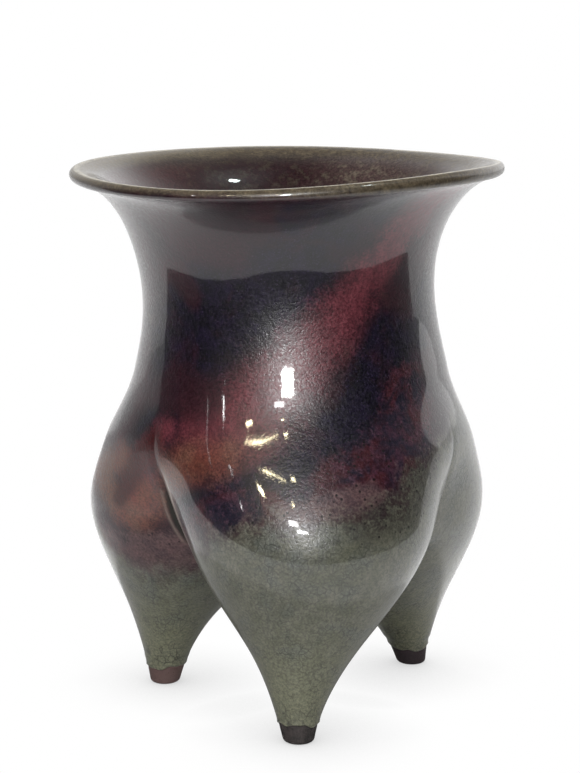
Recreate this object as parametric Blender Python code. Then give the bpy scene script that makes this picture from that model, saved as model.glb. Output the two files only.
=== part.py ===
"""Tripod incense burner: one hollow pot on three pouch-shaped legs, with a round neck and a flared lip.

Metres, +Z up. The floor is z = 0 and the origin is under the middle of the mouth. A bearing is the
angle round the pot in radians, from the front (-Y) towards the right (+X).
"""
import math

import bmesh
import bpy
import numpy as np

# Sizes of the pot. HEIGHT is the lip's height on average, and its waves rise above and below that
HEIGHT = 0.231
MOUTH_RADIUS = 0.0909
LIP_THICKNESS = 0.0055
LIP_TILT = math.radians(10)
WAIST_HEIGHT = 0.177
WAIST_RADIUS = 0.0617
ROOT_HEIGHT = 0.145
BELLY_HEIGHT = 0.085
BELLY_RADIUS = 0.0523
FOOT_RADIUS = 0.0066
FOOT_EDGE = 0.0014
WALL = 0.0050

# Inside of the legs: how thick the clay is over each foot, and how round the pocket's floor is
POCKET_FLOOR = 0.021
POCKET_ROUNDING = 0.0025

# How softly one leg's swelling runs into the next, and the reach over which that softness grows
CLEFT_BLEND = 0.0034
BLEND_REACH = 0.010

# How far the feet and the bellies stand out from the middle, and how much stouter one shank is at most
FOOT_REACH = 0.0625
BELLY_REACH = 0.0373
SHANK_CHANGE = 0.0008

# The legs, from the left one round the front to the right: bearing in degrees of the foot and of the
# belly, each with its share of the reach above, and the leg's share of the change in the shank
LEGS = (
    {"foot": (-104.4, 0.896), "belly": (-114.4, 0.944), "stouter": -0.5},
    {"foot": (4.4, 0.990), "belly": (15.3, 1.016), "stouter": 0.0},
    {"foot": (125.7, 1.115), "belly": (116.9, 1.038), "stouter": 1.0},
)

# Swelling of a leg up to its belly: share of the belly's height, share of the way from foot to belly radius
LEG_SWELL = ((0, 0), (0.10, 0.045), (0.24, 0.142), (0.40, 0.305), (0.57, 0.538), (0.74, 0.765), (1, 1))
# Swelling from belly to waist: share of the way up, radius as a share of the waist's
BODY_SWELL = ((0.22, 0.972), (0.38, 1.094), (0.58, 1.099), (0.78, 1.036), (1, 1))
# Spread of the legs: share of the root's height, share of the reach at the foot
SPREAD = ((0, 1), (0.21, 0.910), (0.41, 0.741), (0.59, 0.613), (0.72, 0.412), (0.85, 0.125), (1, 0))
# Length of the two handles of the neck's curve: up from the waist, and inward from the lip
WAIST_HANDLE = 0.0216
LIP_HANDLE = 0.0176

# Unevenness of the hand-made pot: the most that it sways to a side and that one wave of its lip rises.
# Sway: share of the height, share of the most. Waves: how many go round, share of the most, phase in degrees
MOST_SWAY = 0.0019
MOST_WAVE = 0.0014
SWAY = ((0, 0), (0.25, -1), (0.40, -0.53), (0.56, 0.74), (0.70, 0.74), (0.88, -0.37), (1, 0))
LIP_WAVES = ((1, 1, 17), (2, 0.93, -17), (3, 0.36, -56))

# Fineness of the surface
COLUMNS = 20
CROTCH_COLUMNS = 6
LIP_STEPS = 6
NECK_STEPS = 9
BODY_STEPS = 13
LEG_STEPS = 8
EDGE_STEPS = 2
SETTLING_ROUNDS = 12
PRESSES = 3
HALVINGS = 50
NUDGE = 1e-5
SAME_POINT = 1e-6

# Colour of the glaze
GLAZE_COLOUR = (0.075, 0.045, 0.048, 1.0)
GLAZE_ROUGHNESS = 0.16


def clear_scene():
    for old in list(bpy.data.objects):
        bpy.data.objects.remove(old, do_unlink=True)


def curve_through(points, end_slope=None):
    """A smooth function through the points. Its last slope is end_slope, or free where that is None."""
    x, y = np.array(points, float).T
    step = np.diff(x)
    rise = np.diff(y) / step
    count = len(x)
    matrix = np.zeros((count, count))
    right = np.zeros(count)
    for i in range(1, count - 1):
        matrix[i, i - 1 : i + 2] = 1 / step[i - 1], 2 / step[i - 1] + 2 / step[i], 1 / step[i]
        right[i] = 3 * (rise[i - 1] / step[i - 1] + rise[i] / step[i])
    matrix[0, :2] = 2, 1
    right[0] = 3 * rise[0]
    matrix[-1, -2:] = (1, 2) if end_slope is None else (0, 1)
    right[-1] = 3 * rise[-1] if end_slope is None else end_slope
    slope = np.linalg.solve(matrix, right)

    def value(at):
        i = np.clip(np.searchsorted(x, at, side="right") - 1, 0, count - 2)
        t = (at - x[i]) / step[i]
        start = (1 - t) ** 2 * ((1 + 2 * t) * y[i] + t * step[i] * slope[i])
        end = t * t * ((3 - 2 * t) * y[i + 1] + (t - 1) * step[i] * slope[i + 1])
        return start + end

    return value


SPREAD_CURVE = curve_through(SPREAD, end_slope=0)
SWAY_CURVE = curve_through(SWAY)


def towards(bearing):
    return np.stack([np.sin(bearing), -np.cos(bearing)], -1)


def spread(z):
    """How far out the legs' centre lines lie at height z, as a share of their reach at the foot."""
    return SPREAD_CURVE(np.clip(z / ROOT_HEIGHT, 0, 1))


def radius_stations():
    """Height and radius of a leg's swelling from the foot to the waist, where it is the whole pot's."""
    widening = BELLY_RADIUS - FOOT_RADIUS
    rise = WAIST_HEIGHT - BELLY_HEIGHT
    leg = [(BELLY_HEIGHT * up, FOOT_RADIUS + widening * out) for up, out in LEG_SWELL]
    body = [(BELLY_HEIGHT + rise * up, WAIST_RADIUS * out) for up, out in BODY_SWELL]
    return leg + body


RADIUS_CURVE = curve_through(radius_stations(), end_slope=0)


def leg_radius(z):
    return RADIUS_CURVE(np.clip(z, 0, WAIST_HEIGHT))


def radius_slope(z):
    return (leg_radius(z + NUDGE) - leg_radius(z - NUDGE)) / (2 * NUDGE)


def leg_lean(leg, z):
    """Where a leg's centre line lies at height z before the spread is applied, so it never vanishes."""
    up = np.clip(z / BELLY_HEIGHT, 0, 1)
    share = up * up * (3 - 2 * up)
    foot_bearing, foot_share = leg["foot"]
    belly_bearing, belly_share = leg["belly"]
    bearing = np.radians(foot_bearing + (belly_bearing - foot_bearing) * share)
    low = FOOT_REACH * foot_share
    high = BELLY_REACH * belly_share / spread(BELLY_HEIGHT)
    reach = low + (high - low) * share
    return towards(bearing) * np.asarray(reach)[..., None]


def leg_centre(leg, z):
    return leg_lean(leg, z) * np.asarray(spread(z))[..., None]


def distance_to_pot(points):
    """About how far each point is outside the pot's outer surface, up to the waist."""
    z = points[:, 2]
    flat = []
    for leg in LEGS:
        away = points[:, :2] - leg_centre(leg, z)
        gap = np.hypot(away[:, 0], away[:, 1])
        lean = (leg_centre(leg, z + NUDGE) - leg_centre(leg, z - NUDGE)) / (2 * NUDGE)
        slope = (away * lean).sum(1) / np.maximum(gap, NUDGE) + radius_slope(z)
        stouter = SHANK_CHANGE * leg["stouter"] * np.sin(math.pi * np.clip(z / BELLY_HEIGHT, 0, 1))
        flat.append((gap - leg_radius(z) - stouter) / np.sqrt(1 + slope**2))
    reach = np.mean([np.hypot(*leg_centre(leg, z).T) for leg in LEGS], axis=0)
    blend = np.maximum(CLEFT_BLEND * reach / (reach + BLEND_REACH), SAME_POINT)
    nearest = np.min(flat, axis=0)
    return nearest - blend * np.log(sum(np.exp((nearest - gap) / blend) for gap in flat))


def distance_to_hollow(points):
    """The same for the hollow inside, which lies one wall deeper and ends on the pockets' floors."""
    deeper = distance_to_pot(points) + WALL
    below = POCKET_FLOOR - points[:, 2]
    top = np.maximum(deeper, below)
    rest = np.exp((deeper - top) / POCKET_ROUNDING) + np.exp((below - top) / POCKET_ROUNDING)
    return top + POCKET_ROUNDING * np.log(rest)


def height_where(too_low, low, high):
    """The height between low and high where too_low turns false, by halving."""
    for _ in range(HALVINGS):
        middle = (low + high) / 2
        if too_low(middle):
            low = middle
        else:
            high = middle
    return (low + high) / 2


def neck_profile():
    """Radius, height and outward normal at steps of the neck's outer line, from the lip to the waist."""
    lip = LIP_THICKNESS / 2
    down_out = np.array([math.sin(LIP_TILT), -math.cos(LIP_TILT)])
    along = np.array([math.cos(LIP_TILT), math.sin(LIP_TILT)])
    end = np.array([MOUTH_RADIUS - lip, HEIGHT - lip]) + lip * down_out
    start = np.array([WAIST_RADIUS, WAIST_HEIGHT])
    handles = [start + [0, WAIST_HANDLE], end - LIP_HANDLE * along]
    sides = np.diff([start, *handles, end], axis=0)
    t = np.linspace(1, 0, NECK_STEPS + 1)[:, None]
    line = start + (1 - (1 - t) ** 3) * sides[0] + (3 * t**2 - 2 * t**3) * sides[1] + t**3 * sides[2]
    course = (1 - t) ** 2 * sides[0] + 2 * (1 - t) * t * sides[1] + t**2 * sides[2]
    course /= np.linalg.norm(course, axis=1)[:, None]
    normal = np.stack([course[:, 1], -course[:, 0]], 1)
    return line, normal, 1 - t


class Skin:
    """One side of the wall: the outer surface, or the surface of the hollow one wall inside it."""

    def __init__(self, inner):
        self.inner = inner
        self.depth = WALL if inner else 0.0
        self.distance = distance_to_hollow if inner else distance_to_pot
        self.touch = [height_where(lambda z: self.legs_apart(k, z), 0.0, ROOT_HEIGHT) for k in range(3)]
        self.crotch = height_where(self.open_between, 0.0, ROOT_HEIGHT)

    def radius(self, z):
        return leg_radius(z) - self.depth * np.sqrt(1 + radius_slope(z) ** 2)

    def pair(self, k, z):
        """Middle between leg k and the leg after it, the way out between them and half their distance."""
        left = leg_lean(LEGS[k], z)
        right = leg_lean(LEGS[(k + 1) % 3], z)
        across = right - left
        length = np.linalg.norm(across, axis=-1)
        outward = np.stack([across[..., 1], -across[..., 0]], -1) / length[..., None]
        return (left + right) / 2 * spread(z)[..., None], outward, length / 2 * spread(z)

    def legs_apart(self, k, z):
        """Whether leg k and the leg after it stand clear of each other at height z."""
        return self.pair(k, np.array(z))[2] > self.radius(z)

    def middle_of_legs(self, z):
        """Centre and radius of the circle through the centre lines of the three legs at height z."""
        a, b, c = (leg_lean(leg, z) for leg in LEGS)
        centre = np.linalg.solve(2 * np.array([b - a, c - a]), [b @ b - a @ a, c @ c - a @ a])
        return centre * spread(z), np.linalg.norm(centre - a) * spread(z)

    def open_between(self, z):
        """Whether there is air in the middle between the three legs at height z."""
        return self.middle_of_legs(z)[1] > self.radius(z)

    def seam(self, k, z, side):
        """Where the circles of leg k and the next one cross: side 1 is outside, -1 is under the pot."""
        middle, outward, half = self.pair(k, z)
        rise = np.sqrt(np.maximum(self.radius(z) ** 2 - half**2, 0))
        return middle + side * outward * rise[..., None]

    def turn_of(self, k, flat, z):
        """Bearing of a spot as seen from the centre line of leg k, within half a turn of the leg's own."""
        away = flat - leg_centre(LEGS[k], z)
        own = math.radians(LEGS[k]["belly"][0])
        return own + (np.arctan2(away[..., 0], -away[..., 1]) - own + math.pi) % (2 * math.pi) - math.pi

    def on_leg(self, k, z, turn):
        flat = leg_centre(LEGS[k], z) + self.radius(z)[..., None] * towards(turn)
        return np.concatenate([flat, z[..., None]], -1)

    def from_seam_to_seam(self, k, z):
        """Points on the outside of leg k, from its left seam to its right one, at heights z."""
        left = self.turn_of(k, self.seam((k - 1) % 3, z, 1), z)
        right = self.turn_of(k, self.seam(k, z, 1), z)
        share = np.linspace(0, 1, COLUMNS + 1)
        return self.on_leg(k, z, left + (right - left) * share)

    def under_seam(self, k, share):
        """Points on the seam under the pot, from where leg k and the next one touch to the middle."""
        z = self.touch[k] + (self.crotch - self.touch[k]) * share**2
        flat = self.seam(k, z, -1)
        flat[share == 1] = self.middle_of_legs(self.crotch)[0]
        return np.concatenate([flat, z[..., None]], -1)

    def neck(self, k):
        """The flare above leg k. The outer skin's starts with the rounding of the lip."""
        line, normal, depth = neck_profile()
        if self.inner:
            line = line - normal * (LIP_THICKNESS + (WALL - LIP_THICKNESS) * depth)
        else:
            turns = LIP_TILT + np.radians(np.linspace(180, 0, LIP_STEPS + 1)[:-1])
            middle = line[0] - normal[0] * LIP_THICKNESS / 2
            arc = middle + LIP_THICKNESS / 2 * np.stack([np.sin(turns), -np.cos(turns)], 1)
            line = np.concatenate([arc, line])
        waist = self.from_seam_to_seam(k, np.full(COLUMNS + 1, WAIST_HEIGHT))
        way = waist[:, :2] / np.linalg.norm(waist[:, :2], axis=1)[:, None]
        return np.array([np.column_stack([radius * way, np.full(len(way), z)]) for radius, z in line])

    def body(self, k):
        share = np.linspace(0, 1, COLUMNS + 1)
        down = np.linspace(0, 1, BODY_STEPS + 1)[:, None]
        lowest = self.touch[k - 1] + (self.touch[k] - self.touch[k - 1]) * share
        return self.from_seam_to_seam(k, WAIST_HEIGHT + (lowest - WAIST_HEIGHT) * down)

    def leg(self, k):
        """Rings down leg k, from where the legs part to just above the foot, or to the pocket's floor."""
        halves = np.linspace(0, 1, CROTCH_COLUMNS // 2 + 1)
        outside = self.body(k)[-1]
        under = [self.under_seam(k, halves[1:]), self.under_seam((k - 1) % 3, halves[-2:0:-1])]
        top = np.concatenate([outside, *under, outside[:1]])
        turns = np.unwrap(self.turn_of(k, top[:, :2], top[:, 2]))
        end = POCKET_FLOOR if self.inner else FOOT_EDGE
        down = np.linspace(0, 1, LEG_STEPS + 1)[1:, None]
        rings = self.on_leg(k, top[:, 2] + (end - top[:, 2]) * down, turns)
        return np.concatenate([top[None], rings]), turns

    def foot(self, k, ring, turns):
        """The rounded edge and the flat underside of a foot, or the floor of a pocket."""
        rows = [ring]
        for step in np.radians(np.linspace(90, 0, EDGE_STEPS + 1))[1:]:
            height = POCKET_FLOOR if self.inner else FOOT_EDGE * (1 - math.cos(step))
            row = self.on_leg(k, np.full(len(turns), height), turns)
            edge = self.radius(np.array(height)) if self.inner else FOOT_EDGE
            row[:, :2] -= towards(turns) * edge * (1 - math.sin(step))
            rows.append(row)
        if not self.inner:
            rows.append(0 * row + np.append(leg_centre(LEGS[k], 0.0), 0.0))
        return np.array(rows)

    def surface(self):
        """Points and faces of the whole skin, settled onto its shape."""
        patches = []
        for k in range(3):
            rings, turns = self.leg(k)
            patches.append((self.neck(k), False))
            patches.append((self.body(k), True))
            patches.append((rings, True))
            patches.append((self.foot(k, rings[-1], turns), self.inner))
        points, faces, loose = weld(patches)
        settle(points, faces, loose, self.distance)
        return points, [face[::-1] for face in faces] if self.inner else faces


def weld(patches):
    """Points, faces and which points may move, of patches whose shared points are made one."""
    places = {}
    points = []
    loose = []
    faces = []
    for grid, moves in patches:
        keys = np.round(grid / SAME_POINT).astype(int)
        index = np.empty(grid.shape[:2], int)
        for spot in np.ndindex(index.shape):
            key = tuple(keys[spot])
            if key not in places:
                places[key] = len(points)
                points.append(grid[spot])
                loose.append(moves)
            index[spot] = places[key]
            loose[places[key]] &= moves
        quads = np.stack([index[:-1, :-1], index[1:, :-1], index[1:, 1:], index[:-1, 1:]], -1)
        for quad in quads.reshape(-1, 4).tolist():
            face = [corner for n, corner in enumerate(quad) if corner != quad[n - 1]]
            if len(face) > 2:
                faces.append(face)
    return np.array(points), faces, np.array(loose)


def settle(points, faces, loose, distance):
    """Evens out the loose points along the surface and lays them where distance is 0."""
    edges = {tuple(sorted(edge)) for face in faces for edge in zip(face, face[1:] + face[:1])}
    starts, ends = np.array(sorted(edges)).T
    count = np.bincount(np.concatenate([starts, ends]), minlength=len(points))[:, None]
    nudges = np.eye(3) * NUDGE
    for _ in range(SETTLING_ROUNDS):
        total = np.zeros_like(points)
        np.add.at(total, starts, points[ends])
        np.add.at(total, ends, points[starts])
        spots = points[loose]
        pull = (total / count)[loose] - spots
        rise = [(distance(spots + nudge) - distance(spots - nudge)) / (2 * NUDGE) for nudge in nudges]
        steepest = np.stack(rise, 1)
        steepness = (steepest**2).sum(1, keepdims=True)
        pull -= steepest * (pull * steepest).sum(1, keepdims=True) / steepness
        spots += pull / 2
        for _ in range(PRESSES):
            spots -= steepest * (distance(spots)[:, None] / steepness)
        points[loose] = spots


def out_of_true(points):
    """The sway and the waving lip of a pot made by hand. The feet stay where they are."""
    x, y, z = points.T
    bearing = np.arctan2(x, -y)
    up = np.clip((z - WAIST_HEIGHT) / (HEIGHT - WAIST_HEIGHT), 0, 1) ** 2
    wave = sum(share * np.sin(count * bearing + math.radians(phase)) for count, share, phase in LIP_WAVES)
    sway = MOST_SWAY * SWAY_CURVE(np.clip(z / HEIGHT, 0, 1))
    return np.stack([x + sway, y, z + MOST_WAVE * wave * up], 1)


def glaze():
    material = bpy.data.materials.new("glaze")
    material.use_nodes = True
    shader = material.node_tree.nodes["Principled BSDF"]
    shader.inputs["Base Color"].default_value = GLAZE_COLOUR
    shader.inputs["Roughness"].default_value = GLAZE_ROUGHNESS
    shader.inputs["Metallic"].default_value = 0.0
    material.diffuse_color = GLAZE_COLOUR
    return material


def burner_body():
    """The pot: its outer and inner skins, joined along the inner edge of the lip."""
    outer_points, outer_faces = Skin(inner=False).surface()
    inner_points, inner_faces = Skin(inner=True).surface()
    faces = outer_faces + [[corner + len(outer_points) for corner in face] for face in inner_faces]
    points = out_of_true(np.concatenate([outer_points, inner_points]))
    mesh = bpy.data.meshes.new("burner_body")
    mesh.from_pydata(points.tolist(), [], faces)
    joined = bmesh.new()
    joined.from_mesh(mesh)
    bmesh.ops.remove_doubles(joined, verts=joined.verts, dist=SAME_POINT)
    joined.to_mesh(mesh)
    joined.free()
    mesh.shade_smooth()
    mesh.materials.append(glaze())
    body = bpy.data.objects.new("burner_body", mesh)
    bpy.context.collection.objects.link(body)


clear_scene()
burner_body()
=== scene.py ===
"""The looks of the tripod incense burner: one hollow pot with a flowing glaze, on three bare foot tips.

Metres, +Z up. The floor is z = 0 and the origin is under the middle of the mouth. A bearing is the
angle round the pot, from the front (-Y) towards the right (+X).
"""

import math

import bmesh
import bpy
import numpy as np
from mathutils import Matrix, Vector, noise


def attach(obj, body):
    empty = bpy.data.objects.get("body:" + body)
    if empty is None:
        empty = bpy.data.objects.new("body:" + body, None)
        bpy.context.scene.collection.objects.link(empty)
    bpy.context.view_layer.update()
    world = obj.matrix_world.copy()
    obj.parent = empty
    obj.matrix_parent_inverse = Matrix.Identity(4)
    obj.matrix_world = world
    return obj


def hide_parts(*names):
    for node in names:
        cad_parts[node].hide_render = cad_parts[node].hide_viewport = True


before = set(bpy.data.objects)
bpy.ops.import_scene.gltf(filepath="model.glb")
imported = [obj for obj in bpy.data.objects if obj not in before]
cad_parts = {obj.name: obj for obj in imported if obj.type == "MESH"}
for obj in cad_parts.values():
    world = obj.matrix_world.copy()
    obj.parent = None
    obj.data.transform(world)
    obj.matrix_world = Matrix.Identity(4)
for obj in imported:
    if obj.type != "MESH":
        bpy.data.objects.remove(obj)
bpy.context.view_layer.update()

# Sizes of the pot. HEIGHT is the lip's height on average, and its waves rise above and below that
HEIGHT = 0.231
MOUTH_RADIUS = 0.0909
LIP_THICKNESS = 0.0055
LIP_TILT = math.radians(10)
WAIST_HEIGHT = 0.177
WAIST_RADIUS = 0.0617
ROOT_HEIGHT = 0.145
BELLY_HEIGHT = 0.085
BELLY_RADIUS = 0.0523
FOOT_RADIUS = 0.0066
FOOT_EDGE = 0.0014
WALL = 0.0050

# Inside of the legs: how thick the clay is over each foot, and how round the pocket's floor is
POCKET_FLOOR = 0.021
POCKET_ROUNDING = 0.0025

# How softly one leg's swelling runs into the next, and the reach over which that softness grows
CLEFT_BLEND = 0.0034
BLEND_REACH = 0.010

# How far the feet and the bellies stand out from the middle, and how much stouter one shank is at most
FOOT_REACH = 0.0625
BELLY_REACH = 0.0373
SHANK_CHANGE = 0.0008

# The legs, from the left one round the front to the right: bearing in degrees of the foot and of the
# belly, each with its share of the reach above, and the leg's share of the change in the shank
LEGS = (
    {"foot": (-104.4, 0.896), "belly": (-114.4, 0.944), "stouter": -0.5},
    {"foot": (4.4, 0.990), "belly": (15.3, 1.016), "stouter": 0.0},
    {"foot": (125.7, 1.115), "belly": (116.9, 1.038), "stouter": 1.0},
)

# Swelling of a leg up to its belly: share of the belly's height, share of the way from foot to belly radius
LEG_SWELL = ((0, 0), (0.10, 0.045), (0.24, 0.142), (0.40, 0.305), (0.57, 0.538), (0.74, 0.765), (1, 1))
# Swelling from belly to waist: share of the way up, radius as a share of the waist's
BODY_SWELL = ((0.22, 0.972), (0.38, 1.094), (0.58, 1.099), (0.78, 1.036), (1, 1))
# Spread of the legs: share of the root's height, share of the reach at the foot
SPREAD = ((0, 1), (0.21, 0.910), (0.41, 0.741), (0.59, 0.613), (0.72, 0.412), (0.85, 0.125), (1, 0))
# Length of the two handles of the neck's curve: up from the waist, and inward from the lip
WAIST_HANDLE = 0.0216
LIP_HANDLE = 0.0176

# Unevenness of the hand-made pot: the most that it sways to a side and that one wave of its lip rises.
# Sway: share of the height, share of the most. Waves: how many go round, share of the most, phase in degrees
MOST_SWAY = 0.0019
MOST_WAVE = 0.0014
SWAY = ((0, 0), (0.25, -1), (0.40, -0.53), (0.56, 0.74), (0.70, 0.74), (0.88, -0.37), (1, 0))
LIP_WAVES = ((1, 1, 17), (2, 0.93, -17), (3, 0.36, -56))

# Fineness of the surface
COLUMNS = 88
CROTCH_COLUMNS = 20
LIP_STEPS = 16
NECK_STEPS = 36
BODY_STEPS = 52
LEG_STEPS = 34
EDGE_STEPS = 4
SETTLING_ROUNDS = 12
PRESSES = 3
HALVINGS = 50
NUDGE = 1e-5
SAME_POINT = 1e-6

# The glaze's edge above the bare tip of a foot: the height where its rows begin, its own mean height, and
# how far it waves. Waves: how many go round, share of the most, shift in radians from leg to leg
EDGE_TOP = 0.0125
EDGE_HEIGHT = 0.0082
EDGE_WAVE = 0.0007
EDGE_WAVES = ((2, 1, 2.1), (5, 0.6, 1), (9, 0.35, -2.0))
# How many rows lead down to the glaze's roll, and the roll's rows: height above the edge, how far out
LEAD_ROWS = 2
GLAZE_ROLL = (
    (0.0026, 0), (0.0018, 0.00004), (0.0012, 0.00012), (0.0008, 0.00022), (0.0005, 0.00026),
    (0.00025, 0.00018), (0.00008, 0.00002), (0, -0.00016), (-0.0001, -0.0003), (-0.0003, -0.00034),
    (-0.0008, -0.00034), (-0.0016, -0.0003),
)
# The bare clay: how many rows it has, how much deeper it lies, and the rings of its underside as shares
BARE_ROWS = 7
BARE_DEPTH = 0.00028
SOLE_RINGS = (0.6, 0.25, 0)

# The groove where two legs were pressed together: its depth at each height, half its width, and the share of
# that depth in the left cleft, in the right one and behind. The columns crowd together towards the clefts
GROOVE = (
    (0.052, 0), (0.068, 0.001), (0.088, 0.0019), (0.104, 0.0015), (0.114, 0.0008), (0.122, 0.0004),
    (0.131, 0),
)
GROOVE_WIDTH = 0.0052
GROOVE_SHARES = (1, 0.55, 0.8)
CROWDING = 0.72
# The slit in the left groove: how much deeper it is at each height, and half its width
SLIT = ((0.074, 0), (0.084, 0.0013), (0.096, 0.0016), (0.107, 0))
SLIT_WIDTH = 0.0018

# Painted shade in the left cleft, a dark crevice: height, distance from the cleft, half its width. Then
# how soft its edge is, and how far beyond it a painted highlight, its pale outline, lies and reaches
CREVICE_SHADE = (
    (0.076, 0.0011, 0.0001), (0.082, 0.0009, 0.0009), (0.09, 0.0009, 0.0012), (0.096, 0.0009, 0.0008),
    (0.101, 0.0008, 0.0001),
)
CREVICE_SHADE_SOFT = 0.0008
OUTLINE_HIGHLIGHT_AWAY = 0.001
OUTLINE_HIGHLIGHT_WIDTH = 0.0009
# A painted highlight, a pale line on the front leg beside it: height and distance from the cleft, height
# and how strongly it shows, and its reach to each side. Then the reach of the fainter painted reflection
# beside it on its flank, and the top from which that falls
HIGHLIGHT_LINE = (
    (0.074, -0.015), (0.08, -0.0125), (0.086, -0.0088), (0.092, -0.007), (0.098, -0.0057),
    (0.104, -0.0052), (0.12, -0.0048),
)
HIGHLIGHT_LINE_SHOWS = ((0.07, 0), (0.082, 1), (0.098, 0.8), (0.112, 0))
HIGHLIGHT_LINE_WIDTH = 0.0014
FLANK_REFLECTION_WIDTH = 0.0035
FLANK_REFLECTION_TOP = 1.3


def curve_through(points, end_slope=None):
    """A smooth function through the points. Its last slope is end_slope, or free where that is None."""
    x, y = np.array(points, float).T
    step = np.diff(x)
    rise = np.diff(y) / step
    count = len(x)
    matrix = np.zeros((count, count))
    right = np.zeros(count)
    for i in range(1, count - 1):
        matrix[i, i - 1 : i + 2] = 1 / step[i - 1], 2 / step[i - 1] + 2 / step[i], 1 / step[i]
        right[i] = 3 * (rise[i - 1] / step[i - 1] + rise[i] / step[i])
    matrix[0, :2] = 2, 1
    right[0] = 3 * rise[0]
    matrix[-1, -2:] = (1, 2) if end_slope is None else (0, 1)
    right[-1] = 3 * rise[-1] if end_slope is None else end_slope
    slope = np.linalg.solve(matrix, right)

    def value(at):
        i = np.clip(np.searchsorted(x, at, side="right") - 1, 0, count - 2)
        t = (at - x[i]) / step[i]
        start = (1 - t) ** 2 * ((1 + 2 * t) * y[i] + t * step[i] * slope[i])
        end = t * t * ((3 - 2 * t) * y[i + 1] + (t - 1) * step[i] * slope[i + 1])
        return start + end

    return value


SPREAD_CURVE = curve_through(SPREAD, end_slope=0)
SWAY_CURVE = curve_through(SWAY)


def towards(bearing):
    return np.stack([np.sin(bearing), -np.cos(bearing)], -1)


def at_height(z, course):
    """The value at height z of a course that is given as pairs of height and value."""
    return np.interp(z, *np.array(course).T)


def fading(gap, reach, top=1.0):
    """Falls evenly from the top with the gap, by 1 over each reach, and is kept between 1 and 0."""
    return np.clip(top - gap / reach, 0, 1)


def spread(z):
    """How far out the legs' centre lines lie at height z, as a share of their reach at the foot."""
    return SPREAD_CURVE(np.clip(z / ROOT_HEIGHT, 0, 1))


def radius_stations():
    """Height and radius of a leg's swelling from the foot to the waist, where it is the whole pot's."""
    widening = BELLY_RADIUS - FOOT_RADIUS
    rise = WAIST_HEIGHT - BELLY_HEIGHT
    leg = [(BELLY_HEIGHT * up, FOOT_RADIUS + widening * out) for up, out in LEG_SWELL]
    body = [(BELLY_HEIGHT + rise * up, WAIST_RADIUS * out) for up, out in BODY_SWELL]
    return leg + body


RADIUS_CURVE = curve_through(radius_stations(), end_slope=0)


def leg_radius(z):
    return RADIUS_CURVE(np.clip(z, 0, WAIST_HEIGHT))


def radius_slope(z):
    return (leg_radius(z + NUDGE) - leg_radius(z - NUDGE)) / (2 * NUDGE)


def leg_lean(leg, z):
    """Where a leg's centre line lies at height z before the spread is applied, so it never vanishes."""
    up = np.clip(z / BELLY_HEIGHT, 0, 1)
    share = up * up * (3 - 2 * up)
    foot_bearing, foot_share = leg["foot"]
    belly_bearing, belly_share = leg["belly"]
    bearing = np.radians(foot_bearing + (belly_bearing - foot_bearing) * share)
    low = FOOT_REACH * foot_share
    high = BELLY_REACH * belly_share / spread(BELLY_HEIGHT)
    reach = low + (high - low) * share
    return towards(bearing) * np.asarray(reach)[..., None]


def leg_centre(leg, z):
    return leg_lean(leg, z) * np.asarray(spread(z))[..., None]


def distance_to_pot(points):
    """About how far each point is outside the pot's outer surface, up to the waist."""
    z = points[:, 2]
    flat = []
    for leg in LEGS:
        away = points[:, :2] - leg_centre(leg, z)
        gap = np.hypot(away[:, 0], away[:, 1])
        lean = (leg_centre(leg, z + NUDGE) - leg_centre(leg, z - NUDGE)) / (2 * NUDGE)
        slope = (away * lean).sum(1) / np.maximum(gap, NUDGE) + radius_slope(z)
        stouter = SHANK_CHANGE * leg["stouter"] * np.sin(math.pi * np.clip(z / BELLY_HEIGHT, 0, 1))
        flat.append((gap - leg_radius(z) - stouter) / np.sqrt(1 + slope**2))
    reach = np.mean([np.hypot(*leg_centre(leg, z).T) for leg in LEGS], axis=0)
    blend = np.maximum(CLEFT_BLEND * reach / (reach + BLEND_REACH), SAME_POINT)
    nearest = np.min(flat, axis=0)
    return nearest - blend * np.log(sum(np.exp((nearest - gap) / blend) for gap in flat))


def distance_to_hollow(points):
    """The same for the hollow inside, which lies one wall deeper and ends on the pockets' floors."""
    deeper = distance_to_pot(points) + WALL
    below = POCKET_FLOOR - points[:, 2]
    top = np.maximum(deeper, below)
    rest = np.exp((deeper - top) / POCKET_ROUNDING) + np.exp((below - top) / POCKET_ROUNDING)
    return top + POCKET_ROUNDING * np.log(rest)


def height_where(too_low, low, high):
    """The height between low and high where too_low turns false, by halving."""
    for _ in range(HALVINGS):
        middle = (low + high) / 2
        if too_low(middle):
            low = middle
        else:
            high = middle
    return (low + high) / 2


def neck_profile():
    """Radius, height and outward normal at steps of the neck's outer line, from the lip to the waist."""
    lip = LIP_THICKNESS / 2
    down_out = np.array([math.sin(LIP_TILT), -math.cos(LIP_TILT)])
    along = np.array([math.cos(LIP_TILT), math.sin(LIP_TILT)])
    end = np.array([MOUTH_RADIUS - lip, HEIGHT - lip]) + lip * down_out
    start = np.array([WAIST_RADIUS, WAIST_HEIGHT])
    handles = [start + [0, WAIST_HANDLE], end - LIP_HANDLE * along]
    sides = np.diff([start, *handles, end], axis=0)
    t = np.linspace(1, 0, NECK_STEPS + 1)[:, None]
    line = start + (1 - (1 - t) ** 3) * sides[0] + (3 * t**2 - 2 * t**3) * sides[1] + t**3 * sides[2]
    course = (1 - t) ** 2 * sides[0] + 2 * (1 - t) * t * sides[1] + t**2 * sides[2]
    course /= np.linalg.norm(course, axis=1)[:, None]
    normal = np.stack([course[:, 1], -course[:, 0]], 1)
    return line, normal, 1 - t


def glaze_edge(k, turn):
    """Height of the glaze's lower edge on leg k."""
    wave = sum(share * np.sin(count * turn + shift * k) for count, share, shift in EDGE_WAVES)
    return EDGE_HEIGHT + EDGE_WAVE * wave


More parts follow.
